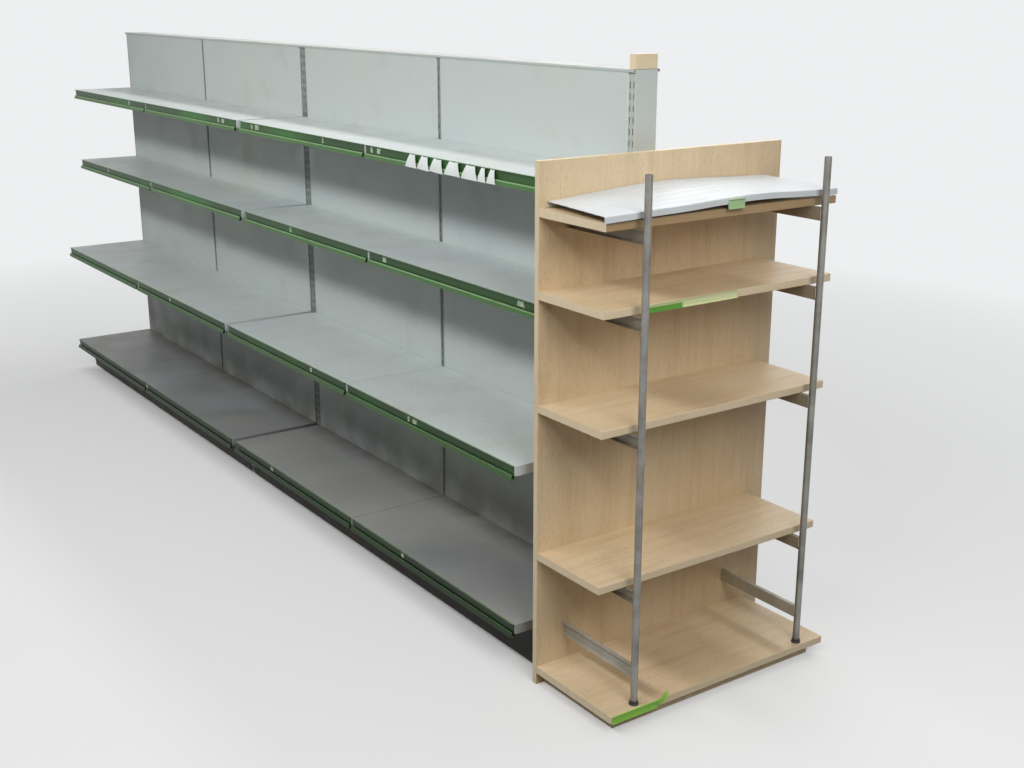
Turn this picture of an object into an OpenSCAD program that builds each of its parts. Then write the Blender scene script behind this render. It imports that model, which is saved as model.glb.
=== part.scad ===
/* [Run of shelving] */
// Number of bays in each half of the run
half_bays = 2; // [1:1:3]
// Distance between uprights, centre to centre
bay_pitch = 1000; // [800:10:1250]
// Height of the back panels' top above the floor
run_h = 1728; // [1664:4:1824]
// Distance between the two faces of the back panels
core_d = 90; // [86:1:110]
// Thickness of the folded sheet steel
sheet_t = 1.2; // [0.8:0.1:1.6]
// Outer radius of a fold in sheet steel
fold_r = 2.5; // [2:0.1:4]

/* [Uprights] */
// Width of an upright, seen from the aisle
upright_w = 30; // [28:1:40]
// How far the back panels stand out beyond an upright's face
panel_stand = 5; // [3:0.5:8]
// Width of the groove that neighbouring panels leave over an upright
groove_w = 21; // [20:1:28]
// Wall thickness of an upright
upright_wall = 2; // [1.5:0.5:3]
// Width of a slot
slot_w = 4; // [3.5:0.25:5]
// Height of a slot
slot_h = 18; // [16:1:22]
// Distance from one slot to the next one above
slot_pitch = 32; // [28:1:36]
// Distance between the two columns of slots
slot_columns = 15; // [13:1:16]
// Height of the lowest slot's centre above the floor
slot_first_z = 183; // [176:1:190]
// Plain length of upright above the highest slot's centre
slot_top_margin = 20; // [14:1:40]

/* [Shelves] */
// Distance from the panel face to the front fold of a short shelf
short_depth = 285; // [200:5:400]
// Distance from the panel face to the front fold of a long shelf
long_depth = 385; // [300:5:500]
// Height of a shelf's folded edge
tray_h = 30; // [26:1:40]
// Width of the lip turned in under the front fold
lip_w = 12; // [6:1:20]
// Gap between the ends of neighbouring shelves
shelf_gap = 2; // [1:0.5:8]
// Gap between a shelf and the back panel
shelf_back_gap = 1; // [0.5:0.5:3]
// Slot row that the lower shelf hooks into
lower_row = 14; // [10:1:16]
// Slot row that the middle shelf hooks into
middle_row = 28; // [24:1:32]
// Slot row that the top shelf hooks into
top_row = 39; // [36:1:42]
// Height of a shelf's top above the centre of its highest slot
shelf_rise = 22; // [20:1:26]
// Height of the base deck's top above the floor
deck_z = 161; // [145:1:165]

/* [Brackets] */
// Thickness of a bracket plate
bracket_t = 2.5; // [2:0.25:3]
// Height of a bracket at its front end
bracket_front_h = 20; // [14:1:24]
// Distance from the front fold back to the bracket's end
bracket_setback = 20; // [16:1:40]
// How far a bracket's lower edge is hollowed
bracket_hollow = 12; // [4:1:18]
// Number of hooks on a bracket
hook_count = 3; // [2:1:4]
// Length of a hook's lip behind the upright's wall
hook_drop = 8; // [5:1:10]

/* [Price strips] */
// Height of a price strip
strip_h = 42; // [36:1:50]
// How far a price strip's lower lip stands out
strip_d = 12; // [9:1:16]
// Height of a price strip's lower lip
strip_lip_h = 15; // [12:1:20]
// Distance from a shelf's end to the end of its price strip
strip_end = 6; // [2:0.5:10]
// Wall thickness of a price strip
strip_wall = 1.6; // [1.2:0.1:2.2]

/* [Base] */
// Clear height under the base legs
leg_z = 30; // [20:1:40]
// Width of a base leg
leg_w = 26; // [20:1:28]
// Distance from the deck's front fold back to the kick plate
kick_recess = 75; // [40:5:100]
// Gap between the floor and a kick plate
kick_gap = 8; // [5:1:15]
// Diameter of a levelling foot's pad
foot_d = 28; // [22:1:29]

/* [End unit] */
// Width of the beech back board
board_w = 885; // [840:5:920]
// Height of the beech back board
end_h = 1514; // [1460:1:1580]
// Thickness of the upright beech boards
board_t = 18; // [15:1:22]
// Thickness of the beech shelves
shelf_t = 22; // [18:1:25]
// Distance of the back board's left edge from the middle of the run
board_left = 413; // [380:1:440]
// Thickness of the batten between the upright and the back board
batten_t = 47; // [30:1:60]
// Width of the beech shelves
end_w = 820; // [740:10:840]
// Depth of the four upper beech shelves
end_depth = 280; // [220:1:295]
// Depth of the beech shelf at the bottom
end_bottom_depth = 343; // [340:1:400]
// Height of the bottom beech shelf's top above the floor
end_bottom_z = 58; // [45:1:80]
// Height of the second beech shelf's top above the floor
end_second_z = 415; // [370:1:450]
// Height of the third beech shelf's top above the floor
end_third_z = 852; // [800:1:900]
// Height of the fourth beech shelf's top above the floor
end_fourth_z = 1168; // [1110:1:1210]
// Height of the top beech shelf's top above the floor
end_top_z = 1390; // [1350:1:1410]
// Outer diameter of the two front tubes
tube_d = 20; // [16:1:28]
// Distance from the back board to the middle of a tube
tube_reach = 323; // [312:1:328]
// Distance between the two front tubes
tube_span = 634; // [500:2:700]
// Height of the tubes' top above the floor
tube_top_z = 1507; // [1470:1:1560]
// Height of an arm that carries a beech shelf
arm_h = 36; // [24:1:40]
// Height of the unused arms' lower edge above the floor
spare_arm_z = 138; // [110:1:200]
// Height of the white tray that lies on the top beech shelf
liner_h = 26; // [20:1:36]
// Overhang of the white tray past the top beech shelf
liner_out = 12; // [0:1:15]

/* [Hidden] */
$fn = 48;

// Clearance where one piece rests against another
seat_gap = 0.2;
// Clearance at the edges of a back panel
panel_gap = 0.3;
// Overlap that lets a cut run past a face
cut = 1;

// The run is two halves that stand end to end, each with its own end uprights
join = upright_w + seat_gap;
halves = [0, 1];

// Back panels, folded at all four edges
panel_depth = 12;
panel_lip = panel_stand - seat_gap;
panel_l = bay_pitch - groove_w;
upright_d = core_d - 2 * panel_stand;

// Crossbeams between the uprights
beam_h = 30;
beam_wall = 1.5;
beam_d = core_d - 2 * (panel_depth + panel_gap);

// Caps along the top of the core
cap_skirt = 7;
cap_rise = sheet_t + seat_gap;

// Shelves
tray_l = bay_pitch - shelf_gap;
notch_w = 12;
rib_w = 40;
rib_h = 14;
rib_end = 16;
lower_z = slot_first_z + lower_row * slot_pitch + shelf_rise;
middle_z = slot_first_z + middle_row * slot_pitch + shelf_rise;
top_z = slot_first_z + top_row * slot_pitch + shelf_rise;
slot_rows = floor((run_h - slot_top_margin - slot_first_z) / slot_pitch);
// Edges of the panel rows: above the base legs, behind each shelf's rear fold, and at the top
panel_edges = [
    deck_z - tray_h,
    lower_z - tray_h / 2,
    middle_z - tray_h / 2,
    top_z - tray_h / 2,
    run_h
];
// Depth and height of each shelf that carries a price strip
strip_places = [
    [long_depth, deck_z],
    [long_depth, lower_z],
    [short_depth, middle_z],
    [short_depth, top_z]
];

// Brackets
hook_t = 3;
hook_neck_h = 8;
hook_play = 0.4;
hook_margin = 4;
bracket_root = 22;
bracket_top = sheet_t + seat_gap;
bracket_rear_h = shelf_rise - bracket_top + (hook_count - 1) * slot_pitch + slot_h / 2 + hook_margin;

// Base
leg_wall = 2;
leg_top_z = deck_z - tray_h - seat_gap;
leg_front_y = core_d / 2 + long_depth - kick_recess - sheet_t - seat_gap;
kick_fold = 15;
foot_pad_h = 8;
foot_stem_d = 10;
foot_nut_h = 8;
foot_nut_d = 19;
foot_inset = 30;

// End unit, measured from the near upright's outer face
near_face_x = half_bays * bay_pitch + upright_w / 2;
board_x = near_face_x + seat_gap + batten_t;
board_face_x = board_x + board_t;
edge_r = 2;
batten_w = 60;
batten_z = 40;
batten_top_drop = 60;
plinth_inset = 30;
tube_wall = 1.5;
tube_x = board_face_x + tube_reach;
arm_w = 12;
arm_wall = 1.5;
// Lower edges of the arms: the unused pair, then one pair under each upper shelf
arm_levels = [
    spare_arm_z,
    end_second_z - shelf_t - seat_gap - arm_h,
    end_third_z - shelf_t - seat_gap - arm_h,
    end_fourth_z - shelf_t - seat_gap - arm_h,
    end_top_z - shelf_t - seat_gap - arm_h
];
liner_inset = 8;
block_size = [28, 76, 40];
end_strip_d = 5;
// Strip pieces: shelf's depth, piece's top, its centre and length along the shelf, its height
end_strips = [
    [end_bottom_depth, end_bottom_z, -329, 160, shelf_t],
    [end_depth, end_fourth_z, -118, 320, shelf_t],
    [end_depth + liner_out, end_top_z + liner_h, 13, 58, liner_h]
];

// Places along the run: half 1 runs towards the end unit, half 0 away from it
function upright_x(half, k) = half == 1 ? k * bay_pitch : -join - k * bay_pitch;
function bay_x(half, k) = (upright_x(half, k) + upright_x(half, k + 1)) / 2;
function slot_z(row) = slot_first_z + row * slot_pitch;

// Pieces are drawn on the rear side, and mirrored for the front aisle
module on_side(side) {
    if (side == "front") mirror([0, 1, 0]) children();
    else children();
}

// Runs a profile along +X, with the profile's x to +Y and its y to +Z
module along_x(length) {
    rotate([90, 0, 90]) linear_extrude(length) children();
}

// Runs a profile along +Y, with the profile's x to +X and its y to +Z
module along_y(length) {
    translate([0, length, 0]) rotate([90, 0, 0]) linear_extrude(length) children();
}

module rounded_rect(size, r) {
    translate([r, 0]) square([size[0] - 2 * r, size[1]]);
    translate([0, r]) square([size[0], size[1] - 2 * r]);
    for (x = [r, size[0] - r], y = [r, size[1] - r]) translate([x, y]) circle(r);
}

// Folded sheet channel, open downwards, centred on x = 0
module channel_profile(width, height) {
    difference() {
        translate([-width / 2, -2 * fold_r]) rounded_rect([width, height + 2 * fold_r], fold_r);
        translate([-width / 2 + sheet_t, -3 * fold_r])
            rounded_rect([width - 2 * sheet_t, height - sheet_t + 3 * fold_r], fold_r - sheet_t);
        translate([-width / 2 - cut, -3 * fold_r]) square([width + 2 * cut, 3 * fold_r]);
    }
}

module upright_profile() {
    inner = [upright_w - 2 * upright_wall, upright_d - 2 * upright_wall];
    difference() {
        translate([-upright_w / 2, -upright_d / 2]) rounded_rect([upright_w, upright_d], fold_r);
        translate(-inner / 2) rounded_rect(inner, fold_r - sheet_t);
    }
}

module upright() {
    translate([0, 0, leg_z]) linear_extrude(upright_wall) square([upright_w, upright_d], center = true);
    difference() {
        translate([0, 0, leg_z]) linear_extrude(run_h - leg_z) upright_profile();
        for (row = [0 : slot_rows], side = [-1, 1])
            translate([side * slot_columns / 2 - slot_w / 2, -upright_d, slot_z(row) - slot_h / 2])
                cube([slot_w, 2 * upright_d, slot_h]);
    }
}

module upright_far() {
    color("gainsboro") translate([upright_x(0, half_bays), 0, 0]) upright();
}

module uprights_middle() {
    color("gainsboro")
        for (half = halves, k = [0 : half_bays - 1]) translate([upright_x(half, k), 0, 0]) upright();
}

module upright_near() {
    color("gainsboro") translate([upright_x(1, half_bays), 0, 0]) upright();
}

// Box-section leg, open towards the upright
module base_leg() {
    start = upright_d / 2 + seat_gap;
    length = leg_front_y - start;
    height = leg_top_z - leg_z;
    translate([-leg_w / 2, start, leg_z]) difference() {
        cube([leg_w, length, height]);
        translate([leg_wall, -cut, leg_wall])
            cube([leg_w - 2 * leg_wall, length - leg_wall + cut, height - 2 * leg_wall]);
    }
}

module base_legs(side) {
    color("gainsboro") on_side(side)
        for (half = halves, k = [0 : half_bays]) translate([upright_x(half, k), 0, 0]) base_leg();
}

module base_legs_front() { base_legs("front"); }
module base_legs_rear() { base_legs("rear"); }

// Round pad, threaded stem and lock nut
module levelling_foot() {
    cylinder(d = foot_d, h = foot_pad_h);
    cylinder(d = foot_stem_d, h = leg_z - seat_gap);
    translate([0, 0, leg_z - seat_gap - foot_nut_h]) cylinder(d = foot_nut_d, h = foot_nut_h, $fn = 6);
}

module levelling_feet() {
    color("dimgray")
        for (half = halves, k = [0 : half_bays], y = [-1, 0, 1])
            translate([upright_x(half, k), y * (leg_front_y - foot_inset), 0]) levelling_foot();
}

module crossbeam() {
    length = bay_pitch - upright_w - 2 * panel_gap;
    difference() {
        translate([-length / 2, -beam_d / 2, 0]) cube([length, beam_d, beam_h]);
        translate([-length / 2 - cut, -beam_d / 2 + beam_wall, beam_wall])
            cube([length + 2 * cut, beam_d - 2 * beam_wall, beam_h - 2 * beam_wall]);
    }
}

module crossbeams() {
    levels = [panel_edges[0], panel_edges[2] - beam_h / 2, run_h - beam_h];
    color("gainsboro")
        for (half = halves, k = [0 : half_bays - 1], z = levels)
            translate([bay_x(half, k), 0, z]) crossbeam();
}

// Folded panel: narrow lips lie over the uprights, deeper flanges stand between them
module back_panel(row_h) {
    height = row_h - 2 * panel_gap;
    flange_l = bay_pitch - upright_w - 2 * panel_gap;
    translate([0, core_d / 2 - panel_lip, panel_gap])
        linear_extrude(height) channel_profile(panel_l, panel_lip);
    for (z = [panel_gap, panel_gap + height - sheet_t])
        translate([-flange_l / 2, core_d / 2 - panel_depth, z])
            cube([flange_l, panel_depth - sheet_t / 2, sheet_t]);
}

module back_panels(side) {
    color("whitesmoke") on_side(side)
        for (half = halves, k = [0 : half_bays - 1], row = [0 : len(panel_edges) - 2])
            translate([bay_x(half, k), 0, panel_edges[row]])
                back_panel(panel_edges[row + 1] - panel_edges[row]);
}

module back_panels_front() { back_panels("front"); }
module back_panels_rear() { back_panels("rear"); }

// Inverted channel over the panels' top edges
module top_cap(x_from, x_to) {
    width = core_d + 2 * (sheet_t + seat_gap);
    translate([x_from, 0, run_h - cap_skirt])
        along_x(x_to - x_from) channel_profile(width, cap_skirt + cap_rise);
}

module top_caps() {
    color("white")
        for (half = halves, k = [0 : half_bays - 1]) {
            inner_end = bay_pitch / 2 + (k == 0 ? upright_w / 2 : -panel_gap);
            outer_end = bay_pitch / 2 + (k == half_bays - 1 ? upright_w / 2 : -panel_gap);
            x_from = bay_x(half, k) - (half == 1 ? inner_end : outer_end);
            top_cap(x_from, x_from + inner_end + outer_end);
        }
}

// Side view of a shelf: its top is at y = 0 and its front fold ends at x = depth
module tray_profile(depth) {
    inner_d = depth - shelf_back_gap - 2 * sheet_t;
    back_y = shelf_back_gap + sheet_t;
    difference() {
        translate([shelf_back_gap, -tray_h]) rounded_rect([depth - shelf_back_gap, tray_h], fold_r);
        translate([back_y, -tray_h + sheet_t])
            rounded_rect([inner_d, tray_h - 2 * sheet_t], fold_r - sheet_t);
        translate([back_y, -tray_h - cut]) square([inner_d - lip_w, 2 * fold_r + cut]);
    }
}

// Folded tray with closed ends, notched at the rear where the brackets hook in
module tray(depth) {
    difference() {
        union() {
            translate([-tray_l / 2, 0, 0]) along_x(tray_l) tray_profile(depth);
            for (x = [-tray_l / 2, tray_l / 2 - sheet_t])
                translate([x, 0, 0]) along_x(sheet_t) tray_end_profile(depth);
        }
        for (end = [-1, 1])
            translate([end * (tray_l / 2 - sheet_t - notch_w / 2) - notch_w / 2, 0, -tray_h - cut])
                cube([notch_w, shelf_back_gap + sheet_t + cut, tray_h - fold_r + cut]);
    }
    tray_rib(depth);
}

module tray_end_profile(depth) {
    translate([shelf_back_gap, -tray_h]) rounded_rect([depth - shelf_back_gap, tray_h], fold_r);
}

// Hat-section stiffener under the top sheet
module tray_rib(depth) {
    length = tray_l - 2 * rib_end;
    translate([-length / 2, depth / 2 - rib_w / 2, -rib_h - sheet_t]) difference() {
        cube([length, rib_w, rib_h + sheet_t / 2]);
        translate([-cut, sheet_t, sheet_t]) cube([length + 2 * cut, rib_w - 2 * sheet_t, rib_h - sheet_t]);
    }
}

module shelf_row(side, depth, z) {
    color("whitesmoke") on_side(side)
        for (half = halves, k = [0 : half_bays - 1])
            translate([bay_x(half, k), core_d / 2, z]) tray(depth);
}

module base_decks_front() { shelf_row("front", long_depth, deck_z); }
module lower_shelves_front() { shelf_row("front", long_depth, lower_z); }
module middle_shelves_front() { shelf_row("front", short_depth, middle_z); }
module top_shelves_front() { shelf_row("front", short_depth, top_z); }
module base_decks_rear() { shelf_row("rear", long_depth, deck_z); }
module lower_shelves_rear() { shelf_row("rear", long_depth, lower_z); }
module middle_shelves_rear() { shelf_row("rear", short_depth, middle_z); }
module top_shelves_rear() { shelf_row("rear", short_depth, top_z); }

// Hook through a slot: neck on the slot's lower edge, lip behind the wall
module hook_profile(slot_centre) {
    seat = slot_centre - slot_h / 2 + seat_gap;
    reach = upright_wall + hook_play + hook_t;
    translate([-reach, seat]) square([reach + 2 * hook_play, hook_neck_h]);
    translate([-reach, seat - hook_drop]) square([hook_t, hook_drop + cut]);
}

// Circle that hollows a bracket's lower edge between its root and its front end
module bracket_hollow_cut(root, front) {
    chord = front - root;
    half_l = norm(chord) / 2;
    radius = (half_l * half_l + bracket_hollow * bracket_hollow) / (2 * bracket_hollow);
    outward = [chord[1], -chord[0]] / norm(chord);
    translate((root + front) / 2 + outward * (radius - bracket_hollow)) circle(radius, $fn = 360);
}

// Side view of a bracket: outwards is +X, up is +Y, the upright's face is at X = 0
module bracket_profile(length) {
    root = [bracket_root, -bracket_rear_h];
    front = [length, -bracket_front_h];
    difference() {
        polygon([[hook_play, 0], [length, 0], front, root, [hook_play, -bracket_rear_h]]);
        bracket_hollow_cut(root, front);
    }
    for (k = [0 : hook_count - 1])
        hook_profile(bracket_top - shelf_rise - k * slot_pitch);
}

module bracket(depth) {
    length = depth - bracket_setback + panel_stand;
    translate([-bracket_t / 2, upright_d / 2, 0]) along_x(bracket_t) bracket_profile(length);
}

module bracket_row(side, depth, z) {
    reach = (bay_pitch - slot_columns) / 2;
    color("whitesmoke") on_side(side)
        for (half = halves, k = [0 : half_bays - 1], end = [-1, 1])
            translate([bay_x(half, k) + end * reach, 0, z - bracket_top]) bracket(depth);
}

module lower_brackets_front() { bracket_row("front", long_depth, lower_z); }
module middle_brackets_front() { bracket_row("front", short_depth, middle_z); }
module top_brackets_front() { bracket_row("front", short_depth, top_z); }
module lower_brackets_rear() { bracket_row("rear", long_depth, lower_z); }
module middle_brackets_rear() { bracket_row("rear", short_depth, middle_z); }
module top_brackets_rear() { bracket_row("rear", short_depth, top_z); }

// Side view of a price strip: outwards is +X, its top is at Y = 0
module strip_profile() {
    lip = strip_d / 2;
    fold_y = -strip_h + strip_lip_h;
    back = seat_gap + strip_wall;
    floor_y = -strip_h + strip_wall;
    polygon([
        [seat_gap, 0], [lip, 0], [lip, -2 * strip_wall], [lip - strip_wall, -2 * strip_wall],
        [lip - strip_wall, -strip_wall], [back, -strip_wall],
        [back, floor_y], [strip_d - 2 * strip_wall, floor_y],
        [lip, fold_y], [lip + strip_wall, fold_y], [strip_d, -strip_h], [seat_gap, -strip_h]
    ]);
}

module price_strip(length) {
    translate([-length / 2, 0, 0]) along_x(length) strip_profile();
}

module price_strips(side) {
    color("forestgreen") on_side(side)
        for (half = halves, k = [0 : half_bays - 1], place = strip_places)
            translate([bay_x(half, k), core_d / 2 + place[0], place[1]]) price_strip(tray_l - 2 * strip_end);
}

module price_strips_front() { price_strips("front"); }
module price_strips_rear() { price_strips("rear"); }

// Folded plate between the floor and the base deck
module kick_plate() {
    height = leg_top_z - kick_gap;
    translate([-tray_l / 2, leg_front_y + seat_gap, kick_gap]) difference() {
        translate([0, -kick_fold, 0]) cube([tray_l, kick_fold + sheet_t, height]);
        translate([-cut, -kick_fold - cut, sheet_t])
            cube([tray_l + 2 * cut, kick_fold + cut, height - 2 * sheet_t]);
        for (end = [0, 1])
            translate([end * (tray_l - leg_w), -kick_fold - cut, -cut])
                cube([leg_w, kick_fold + cut, height + 2 * cut]);
    }
}

module kick_plates(side) {
    color("dimgray") on_side(side)
        for (half = halves, k = [0 : half_bays - 1]) translate([bay_x(half, k), 0, 0]) kick_plate();
}

module kick_plates_front() { kick_plates("front"); }
module kick_plates_rear() { kick_plates("rear"); }

// Beech board seen from its end, with its far edge eased
module board_profile(length, thickness) {
    square([length - edge_r, thickness]);
    translate([length - edge_r, edge_r]) square([edge_r, thickness - 2 * edge_r]);
    for (y = [edge_r, thickness - edge_r]) translate([length - edge_r, y]) circle(edge_r);
}

module end_board() {
    color("burlywood")
        translate([board_face_x, -board_left, 0]) along_y(board_w) rotate(90) board_profile(end_h, board_t);
}

// Batten that holds the back board off the near upright
module end_batten() {
    color("burlywood") translate([near_face_x + seat_gap, -batten_w / 2, batten_z])
        cube([batten_t - seat_gap, batten_w, end_h - batten_top_drop - batten_z]);
}

module end_plinth() {
    length = end_bottom_depth - plinth_inset;
    width = end_w - 2 * plinth_inset;
    color("burlywood") translate([board_face_x + seat_gap, -board_left + plinth_inset, 0]) difference() {
        cube([length, width, end_bottom_z - shelf_t - seat_gap]);
        translate([-cut, board_t, -cut])
            cube([length - board_t + cut, width - 2 * board_t, end_bottom_z + 2 * cut]);
    }
}

module end_shelf(depth, z) {
    color("burlywood") translate([board_face_x + seat_gap, -board_left, z - shelf_t])
        along_y(end_w) board_profile(depth - seat_gap, shelf_t);
}

module end_shelf_bottom() { end_shelf(end_bottom_depth, end_bottom_z); }
module end_shelf_second() { end_shelf(end_depth, end_second_z); }
module end_shelf_third() { end_shelf(end_depth, end_third_z); }
module end_shelf_fourth() { end_shelf(end_depth, end_fourth_z); }
module end_shelf_top() { end_shelf(end_depth, end_top_z); }

// White folded tray, open at its ends, laid on the top beech shelf
module end_liner() {
    depth = end_depth + liner_out - 2 * seat_gap;
    color("white")
        translate([board_face_x + 2 * seat_gap + depth / 2, -board_left + liner_inset, end_top_z + seat_gap])
            along_y(end_w - 2 * liner_inset) channel_profile(depth, liner_h);
}

module end_tube(side) {
    color("silver") translate([tube_x, side * tube_span / 2, end_bottom_z + seat_gap]) difference() {
        cylinder(d = tube_d, h = tube_top_z - end_bottom_z - seat_gap);
        translate([0, 0, -cut]) cylinder(d = tube_d - 2 * tube_wall, h = tube_top_z);
    }
}

module end_tube_left() { end_tube(-1); }
module end_tube_right() { end_tube(1); }

// Channel-shaped arms from the back board to a tube, open outwards
module end_arms(side) {
    x = board_face_x + seat_gap;
    length = tube_x - tube_d / 2 - seat_gap - x;
    color("silver")
        for (z = arm_levels) translate([x, side * tube_span / 2, z]) difference() {
            translate([0, -arm_w / 2, 0]) cube([length, arm_w, arm_h]);
            translate([-cut, -arm_w / 2 + side * arm_wall, arm_wall])
                cube([length + 2 * cut, arm_w, arm_h - 2 * arm_wall]);
        }
}

module end_arms_left() { end_arms(-1); }
module end_arms_right() { end_arms(1); }

// Shallow channel, open outwards: outwards is +X, its top is at Y = 0
module end_strip_profile(height) {
    back = seat_gap + strip_wall;
    polygon([
        [seat_gap, 0], [end_strip_d, 0], [end_strip_d, -strip_wall], [back, -strip_wall],
        [back, -height + strip_wall], [end_strip_d, -height + strip_wall],
        [end_strip_d, -height], [seat_gap, -height]
    ]);
}

// Short lengths of price strip left on the beech shelves' front edges
module end_price_strips() {
    color("limegreen")
        for (piece = end_strips)
            translate([board_face_x + piece[0], piece[2], piece[1]]) rotate([0, 0, -90])
                translate([-piece[3] / 2, 0, 0]) along_x(piece[3]) end_strip_profile(piece[4]);
}

// Beech block on top of the near upright
module end_block() {
    color("burlywood")
        translate([upright_x(1, half_bays), 0, run_h + cap_rise + seat_gap + block_size[2] / 2])
            cube(block_size, center = true);
}

upright_far();
uprights_middle();
upright_near();
base_legs_front();
base_legs_rear();
levelling_feet();
crossbeams();
back_panels_front();
back_panels_rear();
top_caps();
base_decks_front();
lower_shelves_front();
middle_shelves_front();
top_shelves_front();
base_decks_rear();
lower_shelves_rear();
middle_shelves_rear();
top_shelves_rear();
lower_brackets_front();
middle_brackets_front();
top_brackets_front();
lower_brackets_rear();
middle_brackets_rear();
top_brackets_rear();
price_strips_front();
price_strips_rear();
kick_plates_front();
kick_plates_rear();
end_board();
end_batten();
end_plinth();
end_shelf_bottom();
end_shelf_second();
end_shelf_third();
end_shelf_fourth();
end_shelf_top();
end_liner();
end_tube_left();
end_tube_right();
end_arms_left();
end_arms_right();
end_price_strips();
end_block();
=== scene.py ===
import math
import random

import bmesh
import bpy
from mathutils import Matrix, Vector


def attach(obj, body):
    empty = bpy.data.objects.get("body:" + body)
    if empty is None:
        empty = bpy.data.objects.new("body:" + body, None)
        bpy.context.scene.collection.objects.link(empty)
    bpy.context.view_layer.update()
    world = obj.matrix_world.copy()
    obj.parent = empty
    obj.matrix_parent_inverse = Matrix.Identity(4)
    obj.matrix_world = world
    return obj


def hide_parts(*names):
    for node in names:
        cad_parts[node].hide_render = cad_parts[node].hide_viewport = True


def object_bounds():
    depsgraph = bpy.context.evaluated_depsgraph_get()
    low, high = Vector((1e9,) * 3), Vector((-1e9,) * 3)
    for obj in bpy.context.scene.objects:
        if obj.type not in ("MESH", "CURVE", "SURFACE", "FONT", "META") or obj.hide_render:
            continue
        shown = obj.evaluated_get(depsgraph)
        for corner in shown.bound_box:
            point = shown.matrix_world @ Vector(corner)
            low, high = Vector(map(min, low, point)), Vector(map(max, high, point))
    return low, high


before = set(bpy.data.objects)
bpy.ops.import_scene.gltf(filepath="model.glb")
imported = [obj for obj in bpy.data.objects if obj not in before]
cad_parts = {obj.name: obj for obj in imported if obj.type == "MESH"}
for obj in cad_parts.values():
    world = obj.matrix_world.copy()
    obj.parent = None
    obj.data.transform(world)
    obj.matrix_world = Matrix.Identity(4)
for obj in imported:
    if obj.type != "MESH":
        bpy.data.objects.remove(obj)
cadLow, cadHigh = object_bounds()
print("frame loaded:", len(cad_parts), "nodes")

# the run's own sizes, in metres, as the frame has them
run = {
    "uprights": [0.0, 1.0, 2.0, -0.0302, -1.0302, -2.0302],     # centre of each, along the run
    "footRows": [-0.3236, 0.0, 0.3236],     # the levelling feet's rows, across the run
    "shelfTops": [0.161, 0.653, 1.101, 1.453],     # base deck, lower, middle and top shelf
    "stripBack": 0.0452,     # the run's middle to a price strip's back, less the shelf's depth
}


def tint(red, green, blue):
    # screen colour 0..255 to the linear colour a shader takes
    def linear(c):
        c = c / 255.0
        return c / 12.92 if c <= 0.04045 else ((c + 0.055) / 1.055) ** 2.4
    return (linear(red), linear(green), linear(blue), 1.0)


def addNode(tree, kind, inputs=None, **settings):
    # an input is linked where it's a socket, and set where it's a value
    node = tree.nodes.new(kind)
    for key, value in settings.items():
        setattr(node, key, value)
    for key, value in (inputs or {}).items():
        if isinstance(value, bpy.types.NodeSocket):
            tree.links.new(value, node.inputs[key])
        else:
            node.inputs[key].default_value = value
    return node


def mixColour(tree, share, first, second):
    inputs = {0: share, 6: first, 7: second}     # 6 and 7 are the node's colour sockets
    return addNode(tree, "ShaderNodeMix", inputs, data_type="RGBA").outputs[2]


def spread(tree, value, fromLow, fromHigh, toLow, toHigh):
    # between two levels of the value the result goes from toLow to toHigh, and stays there beyond them
    inputs = {0: value, 1: fromLow, 2: fromHigh, 3: toLow, 4: toHigh}
    return addNode(tree, "ShaderNodeMapRange", inputs, clamp=True).outputs[0]


def calc(tree, way, first, second=0.5):
    return addNode(tree, "ShaderNodeMath", {0: first, 1: second}, operation=way).outputs[0]


def times(tree, first, second):
    return calc(tree, "MULTIPLY", first, second)


def place(tree):
    # where a point is in the part's own frame: x, y and z in metres
    spot = addNode(tree, "ShaderNodeTexCoord").outputs["Object"]
    return addNode(tree, "ShaderNodeSeparateXYZ", {0: spot}).outputs


def outward(tree):
    # the way a face looks: its x, y and z shares, -1..1
    normal = addNode(tree, "ShaderNodeNewGeometry").outputs["Normal"]
    return addNode(tree, "ShaderNodeSeparateXYZ", {0: normal}).outputs


def magnitude(tree, value):
    return calc(tree, "ABSOLUTE", value)


even = (1.0, 1.0, 1.0)     # grain that isn't drawn out


def stretched(axis, along, across=1.0):
    stretch = [across, across, across]
    stretch[axis] = along
    return stretch


def grainNoise(tree, scale, detail=3.0, rough=0.55, stretch=even):
    # noise per metre; a small stretch number makes long streaks that way, a large one fine lines
    spot = addNode(tree, "ShaderNodeTexCoord").outputs["Object"]
    mapped = addNode(tree, "ShaderNodeMapping", {"Vector": spot, "Scale": stretch}).outputs[0]
    inputs = {"Vector": mapped, "Scale": scale, "Detail": detail, "Roughness": rough}
    return addNode(tree, "ShaderNodeTexNoise", inputs).outputs[0]


def edgeTurn(tree, radius):
    # 0 on a flat face, more towards an edge that is nearer than the radius
    soft = addNode(tree, "ShaderNodeBevel", {"Radius": radius}, samples=4).outputs[0]
    flat = addNode(tree, "ShaderNodeNewGeometry").outputs["Normal"]
    same = addNode(tree, "ShaderNodeVectorMath", {0: soft, 1: flat}, operation="DOT_PRODUCT")
    return calc(tree, "SUBTRACT", 1.0, same.outputs["Value"])


def newFinish(name, gloss=0.5, metallic=0.0):
    material = bpy.data.materials.new(name)
    material.use_nodes = True
    shader = material.node_tree.nodes["Principled BSDF"]
    shader.inputs["Specular IOR Level"].default_value = gloss
    shader.inputs["Metallic"].default_value = metallic
    return material, material.node_tree, shader


def grainsOf(tree, look):
    # the start of what a look's ramps can follow: its own grains, and how near an edge is
    found = {key: grainNoise(tree, *facts) for key, facts in look["grain"].items()}
    if "edge" in look:
        found["edge"] = edgeTurn(tree, look["edge"])
    return found


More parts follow.
